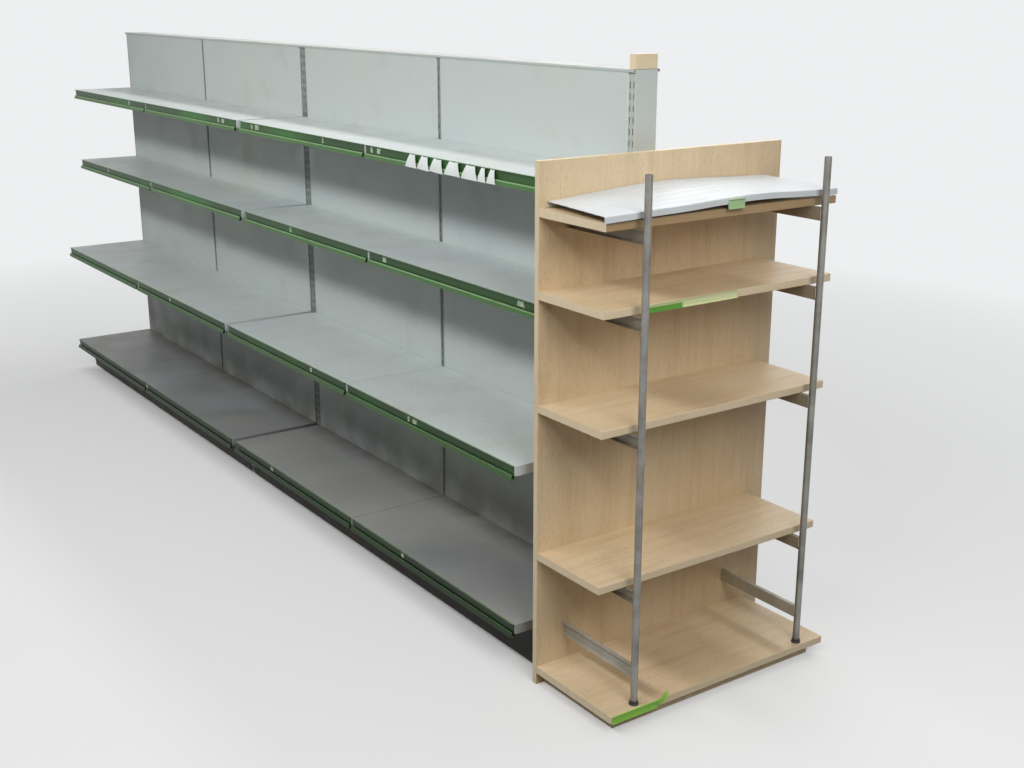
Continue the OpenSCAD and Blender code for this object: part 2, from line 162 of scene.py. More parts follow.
surfaceReadings = {     # what any ramp can follow as well
    "x": lambda tree: place(tree)[0],
    "y": lambda tree: place(tree)[1],
    "z": lambda tree: place(tree)[2],
    "offMiddle": lambda tree: magnitude(tree, place(tree)[1]),     # how far from the run's middle
    "up": lambda tree: outward(tree)[2],
    "facesX": lambda tree: magnitude(tree, outward(tree)[0]),     # how squarely a face looks along an axis
    "facesY": lambda tree: magnitude(tree, outward(tree)[1]),
    "facesZ": lambda tree: magnitude(tree, outward(tree)[2]),
}


def follow(tree, found, what):
    # a surface reading is made when the first ramp asks for it
    if what not in found:
        found[what] = surfaceReadings[what](tree)
    return found[what]


# a ramp says what it follows, from which level to which, and the share at each of the two levels
# a layer is a colour, and the ramps that are multiplied for its share
onEdges = ("edge", 0.02, 0.25, 0.0, 1.0)
asItIs = (0.0, 1.0, 0.0, 1.0)     # the rest of a ramp that changes nothing


def shareOf(tree, found, ramps):
    share = None
    for what, *levels in ramps:
        ramp = spread(tree, follow(tree, found, what), *levels)
        share = ramp if share is None else times(tree, share, ramp)
    return share


def layColours(tree, base, found, layers):
    for colour, *ramps in layers:
        base = mixColour(tree, shareOf(tree, found, ramps), base, tint(*colour))
    return base


def finishOff(tree, shader, base, found, look):
    # colour, roughness and relief onto the shader
    tree.links.new(base, shader.inputs["Base Color"])
    if isinstance(look["rough"], float):
        shader.inputs["Roughness"].default_value = look["rough"]
    else:
        tree.links.new(shareOf(tree, found, [look["rough"]]), shader.inputs["Roughness"])
    under = {}
    if "rounding" in look:     # edges catch the light as if they were rounded
        rounded = addNode(tree, "ShaderNodeBevel", {"Radius": look["rounding"]}, samples=3)
        under["Normal"] = rounded.outputs[0]
    for grain, strength, height in look["relief"]:
        inputs = {"Height": found[grain], "Strength": strength, "Distance": height, **under}
        under["Normal"] = addNode(tree, "ShaderNodeBump", inputs).outputs[0]
    tree.links.new(under["Normal"], shader.inputs["Normal"])


def layeredFinish(name, look):
    # a finish that is no more than its ground colour and the layers over it
    material, tree, shader = newFinish(name, look.get("gloss", 0.5), look.get("metallic", 0.0))
    found = grainsOf(tree, look)
    base = layColours(tree, tint(*look["ground"]), found, look["layers"])
    finishOff(tree, shader, base, found, look)
    return material


coatedSteelLook = {
    "warmTone": (205, 206, 196), "warmShare": 0.40,
    "coolTone": (190, 201, 204), "coolShare": 0.40,
    "dust": (160, 156, 144), "dulled": 0.22,     # how far dust dulls the paint in patches, on any face
    "scuffMark": (124, 124, 118),
    # painted shade with dirt, for the corners
    "cornerShadeAndDirt": (84, 78, 68),
    "bareSteel": (112, 110, 104), "wear": 0.55,
    "gloss": 0.26, "edge": 0.0012, "rounding": 0.0012,
    "slideMark": (11.0, 4.0, 0.60), "slideAcross": 14.0,     # long marks, this much finer across
    "grain": {     # scale per metre, detail, roughness
        "broad": (1.3, 2.0), "patch": (7.0, 4.0), "speck": (90.0, 5.0, 0.70), "where": (3.1, 2.0),
        "wave": (3.0, 1.0), "peel": (620.0, 2.0),
    },
    "rough": ("patch", 0.3, 0.8, 0.38, 0.58),
    "relief": [("wave", 0.20, 0.0025), ("peel", 0.10, 0.0004)],     # grain, strength, height in metres
}

coatedPieces = {
    # the paint, how dusty its tops are, the axis that things slide along, and how much they scuff it
    # a corner is where painted shade and dirt lie: along the base deck's back and over the foot of the
    # panels
    "shelf": {"colour": (210, 219, 218), "dusty": 0.28, "slideAxis": 1, "scuffs": 0.40},
    # the deck's grey, darker than the shelves' paint, is painted shade of the low deck under the lower
    # shelf, with dust
    "deck": {"colour": (138, 141, 144), "dusty": 0.55, "slideAxis": 1, "scuffs": 0.55,
             "corner": ("offMiddle", 0.05, 0.15, 0.75, 0.0)},
    "panel": {"colour": (199, 207, 205), "dusty": 0.10, "slideAxis": 0, "scuffs": 0.22,
              "corner": ("z", 0.175, 0.40, 0.70, 0.0)},
    # the uprights' grey, darker than the frame's paint, is painted shade of the grooves between the
    # panels, with dirt
    "post": {"colour": (132, 137, 131), "dusty": 0.10, "slideAxis": 2, "scuffs": 0.30},
    "frame": {"colour": (200, 206, 202), "dusty": 0.45, "slideAxis": 0, "scuffs": 0.40},
    "cap": {"colour": (186, 192, 189), "dusty": 0.70, "slideAxis": 0, "scuffs": 0.45},
    # the legs' grey, darker than the frame's paint, is painted shade under the base, with floor dirt
    "leg": {"colour": (132, 132, 126), "dusty": 0.60, "slideAxis": 1, "scuffs": 0.50},
    "endPost": {"colour": (200, 206, 202), "dusty": 0.10, "slideAxis": 2, "scuffs": 0.30,
                "aisleColour": (180, 184, 178)},     # greyer on the two faces towards the aisles
}


def coatedSteel(name, colour, dusty, slideAxis, scuffs, aisleColour=None, corner=None):
    # powder-coated sheet: orange peel, a drift of tone, dust on top, slide marks, worn edges
    look = coatedSteelLook
    material, tree, shader = newFinish(name, look["gloss"])
    found = grainsOf(tree, look)
    found["mark"] = grainNoise(tree, *look["slideMark"], stretched(slideAxis, 1.0, look["slideAcross"]))
    layers = [
        (look["warmTone"], ("broad", 0.45, 0.75, 0.0, look["warmShare"])),
        (look["coolTone"], ("broad", 0.30, 0.45, look["coolShare"], 0.0)),
        (look["dust"], ("patch", 0.55, 0.85, 0.0, look["dulled"])),
        (look["dust"], ("up", 0.7, 1.0, 0.0, dusty),
         ("speck", 0.42, 0.66, 0.15, 1.0), ("patch", 0.30, 0.62, 0.25, 1.0)),
        (look["scuffMark"], ("mark", 0.64, 0.74, 0.0, scuffs), ("where", 0.48, 0.62, 0.1, 1.0)),
    ]
    if aisleColour:
        layers.insert(0, (aisleColour, ("facesY", 0.5, 0.8, 0.0, 1.0)))
    if corner:
        # painted shade with dirt in the corner
        layers.append((look["cornerShadeAndDirt"], corner, ("patch", 0.30, 0.60, 0.55, 1.0)))
    layers.append((look["bareSteel"], onEdges, ("speck", 0.50, 0.62, 0.0, look["wear"])))
    base = layColours(tree, tint(*colour), found, layers)
    finishOff(tree, shader, base, found, look)
    return material


kickPlateLook = {     # dark plates, dusty in patches and along the floor, scraped in use
    "ground": (22, 19, 18), "gloss": 0.22, "edge": 0.0015,
    "grain": {
        "patch": (11.0, 4.0), "scrape": (42.0, 5.0, 0.65, (1.0, 1.0, 7.0)), "peel": (700.0, 2.0),
    },
    "layers": [
        ((74, 67, 60), ("patch", 0.40, 0.75, 0.0, 0.25)),     # dust in patches
        ((74, 67, 60), ("z", 0.008, 0.055, 0.75, 0.0), ("patch", *asItIs)),     # and along the floor
        ((104, 96, 88), ("scrape", 0.66, 0.74, 0.0, 0.40)),     # scrapes
        ((104, 96, 88), onEdges, ("scrape", 0.45, 0.60, 0.0, 0.60)),     # worn edges
    ],
    "rough": ("patch", 0.3, 0.8, 0.42, 0.64),
    "relief": [("peel", 0.12, 0.0004)],
}


stripWear = [
    ((150, 176, 138), ("fine", 0.68, 0.78, 0.0, 0.50)),     # scratches
    ((150, 176, 138), onEdges, ("fine", 0.40, 0.60, 0.15, 0.65)),     # rubbed edges
]

greenStripLook = {
    "ground": (44, 78, 40), "gloss": 0.26, "edge": 0.0009,
    "lineDepth": 0.0290,     # the level below a shelf's top of the pale line, a painted highlight on the lip's top edge
    "lineHalf": 0.0026,     # half the line's height
    "grain": {     # scale per metre, detail, roughness, stretch in x, y and z
        "along": (26.0, 3.0, 0.55, (0.12, 0.12, 9.0)),     # lines drawn along the strip
        "fine": (55.0, 5.0, 0.70, (0.5, 0.5, 6.0)),
        "patch": (2.3, 3.0),
        "length": (1.5, 1.0, 0.55, (1.0, 0.2, 0.9)),
    },
    "onLip": [
        ("line", *asItIs), ("up", 0.10, 0.20, 0.0, 1.0),     # the leaning lip, not the back of the recess
        ("z", 0.60, 1.05, 0.30, 1.0),     # the painted highlight is weaker on the lower strips
    ],
    "onTop": [("up", 0.85, 0.95, 0.0, 0.8)],     # painted highlight on the recess's and the lip's upper edges
    "layers": [
        ((64, 96, 54), ("patch", 0.40, 0.72, 0.0, 0.60)),     # faded
        ((34, 50, 32), ("along", 0.50, 0.78, 0.0, 0.35)),     # grime in the drawn lines
        ((58, 124, 50), ("length", 0.50, 0.60, 0.0, 0.75)),     # lengths less bleached than the rest
        ((76, 118, 64), ("up", 0.12, 0.24, 0.0, 1.0), ("up", 0.45, 0.60, 1.0, 0.0),
         ("fine", 0.35, 0.65, 0.60, 1.0)),     # the lip's face, lighter by its facing: painted light on the face that leans up, against the recess's darker ground green, a painted shade
        ((150, 182, 134), ("pale", *asItIs), ("fine", 0.30, 0.60, 0.45, 0.95)),     # painted highlight along the lip's top edge and on upper faces
        *stripWear,
        ((18, 30, 14), ("low", *asItIs), ("up", 0.85, 0.95, 1.0, 0.35)),     # painted shade with some dirt, deepening towards the floor, weaker on upward faces
    ],
    "lowShadeAndDirt": [("z", 0.20, 0.60, 0.47, 0.0), ("z", 0.62, 1.10, 0.41, 0.0)],     # the two are added: painted shade with some dirt, by height
    "rough": ("fine", 0.3, 0.8, 0.32, 0.52),
    "relief": [("along", 0.15, 0.0004)],
}


def greenStrip():
    # extruded green plastic with painted light: darker in the recess than on the lip's face, a painted
    # highlight along the lip's top edge and upper faces, and painted shade with some dirt that deepens
    # towards the floor
    look = greenStripLook
    material, tree, shader = newFinish("greenStripPlastic", look["gloss"])
    found = grainsOf(tree, look)
    found["line"] = 0.0
    for top in run["shelfTops"]:
        away = magnitude(tree, calc(tree, "SUBTRACT", follow(tree, found, "z"), top - look["lineDepth"]))
        near = spread(tree, away, look["lineHalf"] / 2, look["lineHalf"], 1.0, 0.0)     # soft at its edges
        found["line"] = calc(tree, "MAXIMUM", found["line"], near)
    # the pale share is a painted highlight: the lip's line and the upward faces
    onLip, onTop = shareOf(tree, found, look["onLip"]), shareOf(tree, found, look["onTop"])
    found["pale"] = calc(tree, "MAXIMUM", onLip, onTop)
    # painted shade, with some dirt, that deepens towards the floor
    found["low"] = calc(tree, "ADD", *[shareOf(tree, found, [ramp]) for ramp in look["lowShadeAndDirt"]])
    base = layColours(tree, tint(*look["ground"]), found, look["layers"])
    finishOff(tree, shader, base, found, look)
    return material


endStripLook = {     # the beech unit's leftover lengths, each its own shade
    "ground": (152, 208, 88), "gloss": 0.26, "edge": 0.0009,
    "grain": {
        "along": (26.0, 3.0, 0.55, (9.0, 0.12, 9.0)), "fine": (55.0, 5.0, 0.70, (6.0, 0.5, 6.0)),
    },
    "layers": [
        ((226, 230, 180), ("z", 0.20, 0.22, 0.0, 1.0)),     # all but the bottom shelf's
        ((98, 164, 62), ("y", -0.158, -0.150, 1.0, 0.0), ("z", 1.158, 1.162, 1.0, 0.0),
         ("z", 1.05, 1.06, 0.0, 1.0)),     # the fourth shelf's left end
        ((172, 204, 156), ("z", 1.30, 1.32, 0.0, 1.0)),     # the tray's
        ((150, 160, 104), ("along", 0.50, 0.80, 0.0, 0.22)),     # grime in the drawn lines
        *stripWear,
    ],
    "rough": ("fine", 0.3, 0.8, 0.32, 0.52),
    "relief": [("along", 0.15, 0.0004)],
}


beechLook = {
    "ground": (224, 203, 169), "edgeBand": (229, 211, 178), "gloss": 0.5,
    "edge": 0.0018, "rounding": 0.0015,
    "grain": {"dabs": (45.0, 4.0), "smudge": (7.0, 5.0)},
    "boardGrain": {     # scale per metre, detail, roughness, stretch along the wood's grain
        "streak": (34.0, 6.0, 0.60, 0.07), "broad": (5.0, 2.0, 0.55, 0.07),
        "fleck": (420.0, 2.0, 0.50, 0.16), "pore": (150.0, 4.0, 0.60, 0.07),
    },
    "face": [
        ((216, 192, 155), ("broad", 0.35, 0.70, 0.0, 1.0)),
        ((197, 168, 125), ("streak", 0.48, 0.74, 0.0, 0.50)),
        ((197, 168, 125), ("pore", 0.54, 0.72, 0.0, 0.28)),
        ((172, 140, 98), ("fleck", 0.62, 0.70, 0.0, 0.55)),
    ],
    "band": [((216, 192, 155), ("streak", 0.40, 0.80, 0.0, 0.40))],
    "use": [
        ((160, 128, 86), ("z", 1.355, 1.366, 0.0, 0.85), ("facesX", 0.35, 0.60, 0.0, 1.0),
         ("x", 2.30, 2.34, 0.0, 1.0)),     # painted shadow of the white tray's overhang on the top shelf's front edge
        ((237, 223, 194), onEdges, ("dabs", 0.45, 0.65, 0.0, 0.60)),     # rubbed edges
        ((150, 124, 90), ("smudge", 0.58, 0.88, 0.0, 0.28)),     # grime
    ],
    "rough": ("streak", 0.3, 0.8, 0.38, 0.58),
    "relief": [("pore", 0.16, 0.0003)],
}


def beechFinish(name, grainAxis, broadFace):
    # beech-faced board: long soft streaks, short dark flecks, a lighter band glued along the edges
    look = beechLook
    material, tree, shader = newFinish(name, look["gloss"])
    found = grainsOf(tree, look)
    for key, (scale, detail, rough, along) in look["boardGrain"].items():
        found[key] = grainNoise(tree, scale, detail, rough, stretched(grainAxis, along))
    face = layColours(tree, tint(*look["ground"]), found, look["face"])
    band = layColours(tree, tint(*look["edgeBand"]), found, look["band"])
    onBand = shareOf(tree, found, [(broadFace, 0.35, 0.60, 1.0, 0.0)])
    base = layColours(tree, mixColour(tree, onBand, face, band), found, look["use"])
    finishOff(tree, shader, base, found, look)
    return material


trayPlasticLook = {     # thin white plastic, dulled in patches and lightly scratched
    "ground": (218, 223, 225), "gloss": 0.12,
    "grain": {
        "patch": (8.0, 4.0), "scratch": (30.0, 5.0, 0.65, (8.0, 1.0, 8.0)), "dimple": (240.0, 2.0),
    },
    "layers": [
        ((204, 207, 208), ("patch", 0.40, 0.75, 0.0, 0.45)),
        ((190, 184, 170), ("scratch", 0.64, 0.76, 0.0, 0.35)),
    ],
    "rough": ("patch", 0.3, 0.8, 0.32, 0.48),
    "relief": [("dimple", 0.10, 0.0004)],
}

tubeLook = {     # plated tube, dulled in patches with fine drawn lines
    "ground": (150, 149, 144), "metallic": 0.85,
    "grain": {
        "patch": (14.0, 5.0), "drawn": (300.0, 3.0, 0.55, (1.0, 1.0, 0.02)), "spot": (120.0, 4.0, 0.70),
    },
    "layers": [
        ((104, 101, 94), ("patch", 0.38, 0.72, 0.0, 0.80)),
        ((104, 101, 94), ("drawn", 0.50, 0.80, 0.0, 0.35)),
        ((84, 76, 64), ("spot", 0.64, 0.74, 0.0, 0.55)),
    ],
    "rough": ("patch", 0.3, 0.75, 0.32, 0.58),
    "relief": [("drawn", 0.12, 0.0002)],
}

armLook = {     # the arms that carry shelves are painted darker and browner than the unused pair: painted shade under the shelves, tinted with the beech's reflected brown
    **tubeLook, "ground": (178, 174, 162), "metallic": 0.12,
    "layers": [
        ((150, 144, 130), ("patch", 0.38, 0.72, 0.0, 0.80)),
        ((150, 144, 130), ("drawn", 0.50, 0.80, 0.0, 0.35)),
        # painted shade under the shelves, with the beech's reflected brown, above the lowest pair
        ((134, 122, 100), ("z", 0.20, 0.25, 0.0, 0.80)),
        ((84, 76, 64), ("spot", 0.64, 0.74, 0.0, 0.55)),
    ],
}

footLook = {     # black moulded plastic, greyed by floor dust
    "ground": (26, 26, 27),
    "grain": {"patch": (90.0, 4.0)},
    "layers": [((86, 82, 76), ("patch", 0.42, 0.70, 0.0, 0.50))],
    "rough": 0.5,
    "relief": [("patch", 0.20, 0.0005)],
}

residueLook = {     # old label paper, stained green by the strip and worn thin
    "ground": (196, 212, 190),
    "grain": {"patch": (60.0, 4.0), "fibre": (500.0, 3.0)},
    "layers": [((138, 166, 126), ("patch", 0.38, 0.66, 0.0, 0.80))],
    "rough": 0.6,
    "relief": [("fibre", 0.15, 0.0002)],
}

cardLook = {     # blank price card, a little yellowed, with a soft fibre
    "ground": (238, 245, 243),
    "grain": {"patch": (12.0, 3.0), "fibre": (800.0, 3.0)},
    "layers": [((222, 228, 220), ("patch", 0.35, 0.75, 0.0, 0.60))],
    "rough": 0.62,
    "relief": [("fibre", 0.10, 0.0002)],
}

finishOf = {kind: coatedSteel(kind + "Steel", **facts) for kind, facts in coatedPieces.items()}
finishOf.update({
    "kick": layeredFinish("darkSteel", kickPlateLook),
    "foot": layeredFinish("footPlastic", footLook),
    "green": greenStrip(),
    "lime": layeredFinish("endStripPlastic", endStripLook),
    "beechUp": beechFinish("beechUpright", 2, "facesX"),
    "beechFlat": beechFinish("beechShelf", 1, "facesZ"),
    "tray": layeredFinish("trayPlastic", trayPlasticLook),
    "tube": layeredFinish("tubeSteel", tubeLook),
    "arm": layeredFinish("armSteel", armLook),
    "card": layeredFinish("cardPaper", cardLook),
    "residue": layeredFinish("labelResidue", residueLook),
})

finishRules = [     # the start of a node's name and its finish: the first that fits is taken
    ("upright_near", "endPost"), ("upright_far", "endPost"), ("upright", "post"), ("base_legs", "leg"),
    ("crossbeams", "frame"), ("levelling_feet", "foot"), ("back_panels", "panel"), ("top_caps", "cap"),
    ("base_decks", "deck"), ("lower_shelves", "shelf"), ("middle_shelves", "shelf"),
    ("top_shelves", "shelf"), ("lower_brackets", "shelf"), ("middle_brackets", "shelf"),
    ("top_brackets", "shelf"), ("price_strips", "green"), ("kick_plates", "kick"),
    ("end_board", "beechUp"), ("end_batten", "beechUp"), ("end_plinth", "beechUp"),
    ("end_shelf", "beechFlat"), ("end_block", "beechFlat"), ("end_liner", "tray"),
    ("end_tube", "tube"), ("end_arms", "arm"), ("end_price_strips", "lime"),
]

for nodeName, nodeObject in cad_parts.items():
    finishKey = next(finish for start, finish in finishRules if nodeName.startswith(start))
    for materialSlot in nodeObject.material_slots:
        materialSlot.material = finishOf[finishKey]
print("finishes set on every node")


def meshPiece(name, build, finish):
    # a new piece from a function that fills a bmesh
    mesh = bpy.data.meshes.new(name)
    work = bmesh.new()
    build(work)
    bmesh.ops.recalc_face_normals(work, faces=work.faces)
    work.to_mesh(mesh)
    work.free()
    piece = bpy.data.objects.new(name, mesh)
    bpy.context.scene.collection.objects.link(piece)
    mesh.materials.append(finish)
    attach(piece, "root")
    return piece


def bothSides(name, add, finish):
    # one piece for each aisle: side is -1 on the front one, 1 on the rear one
    for sideName, side in (("front", -1), ("rear", 1)):
        meshPiece(name + "_" + sideName, lambda work, s=side: add(work, s), finish)


def closeSheet(work, inner, outer, columns, rows):
    # two matching grids of points become one closed thin sheet
    n = rows + 1
    for c in range(columns):
        for r in range(rows):
            a, b, d, e = c * n + r, c * n + r + 1, (c + 1) * n + r + 1, (c + 1) * n + r
            work.faces.new([outer[a], outer[e], outer[d], outer[b]])
            work.faces.new([inner[a], inner[b], inner[d], inner[e]])
        for r in (0, rows):
            a, e = c * n + r, (c + 1) * n + r
            work.faces.new([inner[a], inner[e], outer[e], outer[a]])
    for r in range(rows):
        for c in (0, columns):
            a, b = c * n + r, c * n + r + 1
            work.faces.new([inner[a], inner[b], outer[b], outer[a]])


def thinSheet(work, columns, rows, pointAt):
    # pointAt(layer, t, v): layer 0 inside and 1 outside, t and v from 0 to 1 over the width and height
    grids = []
    for layer in (0, 1):
        grids.append([work.verts.new(pointAt(layer, c / columns, r / rows))
                      for c in range(columns + 1) for r in range(rows + 1)])
    closeSheet(work, grids[0], grids[1], columns, rows)


priceCards = {
    "height": 0.040, "thickness": 0.0005, "bow": 0.00096, "tiltDegrees": 3.0, "seed": 7,
    "proud": 0.0128,     # how far a card's foot stands out from the strip's back
    "lean": 0.0070,     # the head leans back this much over the recess
    "foot": 0.0412,     # the foot's level below the shelf's top
    "slip": 0.0015,     # the most that a card has slipped further down
    "drawnIn": (0.46, 0.60),     # the head is this much narrower, so dark wedges show between cards
    "columns": 6, "rows": 4,
    # shelf depth, shelf top, and each card's place along the run and width
    "front": [
        (0.285, 1.453, [(1.311, 0.069), (1.383, 0.070), (1.458, 0.077), (1.547, 0.088), (1.639, 0.086),
                        (1.704, 0.042), (1.752, 0.046)]),
    ],
    "rear": [
        (0.285, 1.453, [(1.24, 0.048), (0.36, 0.050), (0.30, 0.046), (-0.92, 0.048)]),
        (0.285, 1.101, [(0.71, 0.050), (-1.30, 0.046)]),
    ],
}


def addCard(work, rng, side, depth, top, centre, wide):
    # a thin bowed card that its own spring holds in the strip
    facts = priceCards
    slope = math.tan(math.radians(rng.uniform(-1, 1) * facts["tiltDegrees"]))
    foot = top - facts["foot"] - rng.uniform(0.0, facts["slip"])
    narrow = rng.uniform(*facts["drawnIn"])

    def pointAt(layer, t, v):
        t = t * 2 - 1
        along = t * wide / 2 * (1 - narrow * v)
        out = run["stripBack"] + depth + facts["proud"] - facts["lean"] * v * v
        out += facts["bow"] * (t * t - 1) * v + layer * facts["thickness"]
        return (centre + along, side * out, foot + v * facts["height"] + along * slope)

    thinSheet(work, facts["columns"], facts["rows"], pointAt)


def addCards(work, side):
    rng = random.Random(priceCards["seed"] + (side > 0))
    for depth, top, cards in priceCards["front" if side < 0 else "rear"]:
        for centre, wide in cards:
            addCard(work, rng, side, depth, top, centre, wide)


bothSides("price_cards", addCards, finishOf["card"])
print("price cards made")


labelScraps = {
    "thickness": 0.0004, "seed": 23, "perSide": 5,     # points on each side of a scrap
    "proud": 0.0017,     # a scrap's back stands this far out from the strip's back
    "turn": 0.08, "tornEnd": 0.16, "tornSide": 0.04, "uneven": 0.06, "slide": 0.2,     # how uneven each is
    # shelf depth, shelf top, and each scrap's place along the run, width, height and level below the top
    "front": [
        (0.285, 1.453, [(-1.240, 0.018, 0.020, 0.013), (-0.207, 0.016, 0.020, 0.013),
                        (-0.165, 0.026, 0.016, 0.013), (0.112, 0.012, 0.022, 0.013),
                        (0.158, 0.030, 0.018, 0.013), (0.700, 0.010, 0.021, 0.013),
                        (1.045, 0.014, 0.020, 0.013), (1.092, 0.022, 0.019, 0.013)]),
        (0.285, 1.101, [(-1.620, 0.020, 0.019, 0.013), (-1.040, 0.012, 0.021, 0.013),
                        (0.410, 0.016, 0.017, 0.014), (1.110, 0.024, 0.018, 0.013),
                        (1.885, 0.034, 0.018, 0.013)]),
        (0.385, 0.653, [(-0.630, 0.018, 0.018, 0.013), (0.732, 0.014, 0.020, 0.013),
                        (1.414, 0.012, 0.022, 0.013), (1.452, 0.026, 0.014, 0.015)]),
        (0.385, 0.161, [(-1.022, 0.018, 0.016, 0.013), (0.350, 0.024, 0.018, 0.013),
                        (1.353, 0.016, 0.014, 0.014)]),
    ],
    "rear": [
        (0.285, 1.453, [(1.62, 0.028, 0.018, 0.013), (-0.40, 0.014, 0.020, 0.013)]),
        (0.285, 1.101, [(0.88, 0.016, 0.019, 0.013), (-1.75, 0.024, 0.017, 0.013)]),
        (0.385, 0.653, [(0.52, 0.024, 0.016, 0.013), (-1.62, 0.018, 0.018, 0.014)]),
    ],
}


def tornRim(rng, wide, tall):
    # the outline of a torn scrap: a rectangle with uneven sides and one ragged end
    facts = labelScraps
    corners = [(-0.5, -0.5), (0.5, -0.5), (0.5, 0.5), (-0.5, 0.5)]
    rim = []
    for k, (fromX, fromZ) in enumerate(corners):
        toX, toZ = corners[(k + 1) % 4]
        ragged = facts["tornEnd"] if k == 1 else facts["tornSide"]
        for j in range(facts["perSide"]):
            t = (j + rng.uniform(-facts["slide"], facts["slide"]) * (j > 0)) / facts["perSide"]
            across = fromX + (toX - fromX) * t + rng.uniform(-ragged, ragged)
            upward = fromZ + (toZ - fromZ) * t + rng.uniform(-facts["uneven"], facts["uneven"])
            rim.append((across * wide, upward * tall))
    return rim


def addScrap(work, rng, back, centre, middle, wide, tall):
    # a torn end of an old label, stuck in the recess; the sign of back is the side
    turn = rng.uniform(-labelScraps["turn"], labelScraps["turn"])
    front = back + math.copysign(labelScraps["thickness"], back)
    rim = [(centre + x - z * turn, middle + z + x * turn) for x, z in tornRim(rng, wide, tall)]
    low = [work.verts.new((x, back, z)) for x, z in rim]
    high = [work.verts.new((x, front, z)) for x, z in rim]
    work.faces.new(high)
    work.faces.new(list(reversed(low)))
    for k in range(len(rim)):
        j = (k + 1) % len(rim)
        work.faces.new([low[k], low[j], high[j], high[k]])


def addScraps(work, side):
    rng = random.Random(labelScraps["seed"] + (side > 0))
    for depth, top, scraps in labelScraps["front" if side < 0 else "rear"]:
        back = side * (run["stripBack"] + depth + labelScraps["proud"])
        for centre, wide, tall, down in scraps:
            addScrap(work, rng, back, centre, top - down, wide, tall)


bothSides("label_scraps", addScraps, finishOf["residue"])
print("label scraps made")


whiteTray = {
    "fromX": 2.0812, "toX": 2.3714, "leftBack": -0.3880, "leftFront": -0.4270, "right": 0.3985,
    "skirt": 0.0180, "skirtPoints": 5, "skirtStep": 0.0036,
    "bend": 0.0030, "bendSteps": 6,     # radius of the bend from the top into a skirt
    "ribs": 7, "ribHeight": 0.0008, "ribSteps": 8, "crown": 0.0018, "thickness": 0.0014,
    # height of the skirts' lower edge along the front and along the back, from the left end to the right
    "frontLevels": [1.3910, 1.3945, 1.3975, 1.4030, 1.4045, 1.3985, 1.3940],
    "backLevels": [1.3906, 1.3990, 1.4085, 1.4135, 1.4110, 1.4050, 1.4000],
    "stations": 60,
}


def levelAt(levels, t):
    # smooth curve through evenly spaced levels
    last = len(levels) - 1
    spot = t * last
    k = min(int(spot), last - 1)
    u = spot - k
    before, a, b, after = levels[max(k - 1, 0)], levels[k], levels[k + 1], levels[min(k + 2, last)]
    return 0.5 * (2 * a + (b - before) * u + (2 * before - 5 * a + 4 * b - after) * u * u
                  + (3 * a - before - 3 * b + after) * u ** 3)


def trayOutline(depth):
    # across the tray: how far in x, how far up from the skirt's foot, and which way is out
    facts = whiteTray
    skirt, bend, step = facts["skirt"], facts["bend"], facts["skirtStep"]
    turns = [math.pi / 2 * k / facts["bendSteps"] for k in range(1, facts["bendSteps"])]
    ribPoints = facts["ribs"] * facts["ribSteps"]
    outline = []
    for k in reversed(range(facts["skirtPoints"])):
        outline.append((0.0, skirt - bend - k * step, -1.0, 0.0))
    for a in turns:
        across, up = bend - bend * math.cos(a), skirt - bend + bend * math.sin(a)
        outline.append((across, up, -math.cos(a), math.sin(a)))
    for k in range(ribPoints + 1):
        t = k / ribPoints
        rib = facts["ribHeight"] * max(0.0, math.cos(2 * math.pi * facts["ribs"] * (t - 0.5))) ** 3
        outline.append((bend + t * (depth - 2 * bend), skirt + rib * (0 < k < ribPoints), 0.0, 1.0))
    for a in turns:
        across, up = depth - bend + bend * math.sin(a), skirt - bend + bend * math.cos(a)
        outline.append((across, up, math.sin(a), math.cos(a)))
    for k in range(facts["skirtPoints"]):
        outline.append((depth, skirt - bend - k * step, 1.0, 0.0))
    return outline


def addTray(work):
    # thin white tray lying upside down: ribbed top, skirts front and back, open ends, warped with age
    facts = whiteTray
    depth = facts["toX"] - facts["fromX"]
    outline = trayOutline(depth)
    inner, outer = [], []
    for s in range(facts["stations"] + 1):
        t = s / facts["stations"]
        front, back = levelAt(facts["frontLevels"], t), levelAt(facts["backLevels"], t)
        for across, up, outX, outZ in outline:
            share = across / depth
            left = facts["leftBack"] + (facts["leftFront"] - facts["leftBack"]) * share
            crown = facts["crown"] * math.sin(math.pi * share) * math.sin(math.pi * t)
            x = facts["fromX"] + across
            y = left + (facts["right"] - left) * t
            z = back + (front - back) * share + up + crown * (up / facts["skirt"])
            outer.append(work.verts.new((x, y, z)))
            inner.append(work.verts.new((x - outX * facts["thickness"], y, z - outZ * facts["thickness"])))
    closeSheet(work, inner, outer, facts["stations"], len(outline) - 1)


whiteTrayPiece = meshPiece("white_tray", addTray, finishOf["tray"])
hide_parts("end_liner")
print("white tray made")


looseStrip = {
    "fromY": -0.2485, "toY": -0.2080, "footZ": 0.0405, "height": 0.017, "thickness": 0.0010,
    "backX": 2.4248,     # where the bottom shelf's strip has its outer face
    "curl": 0.016, "leanBack": 0.010,     # how far the free end has come up, and back over the shelf
    "columns": 14, "rows": 4,
}


def addLooseStrip(work):
    # the bottom strip's right end has come away and curls up over the shelf's front edge
    facts = looseStrip

    def pointAt(layer, t, v):
        x = facts["backX"] - facts["leanBack"] * t * t * v + layer * facts["thickness"]
        y = facts["fromY"] + (facts["toY"] - facts["fromY"]) * t
        return (x, y, facts["footZ"] + facts["height"] * v + facts["curl"] * t * t)

    thinSheet(work, facts["columns"], facts["rows"], pointAt)


meshPiece("loose_strip_end", addLooseStrip, finishOf["lime"])
print("loose strip end made")


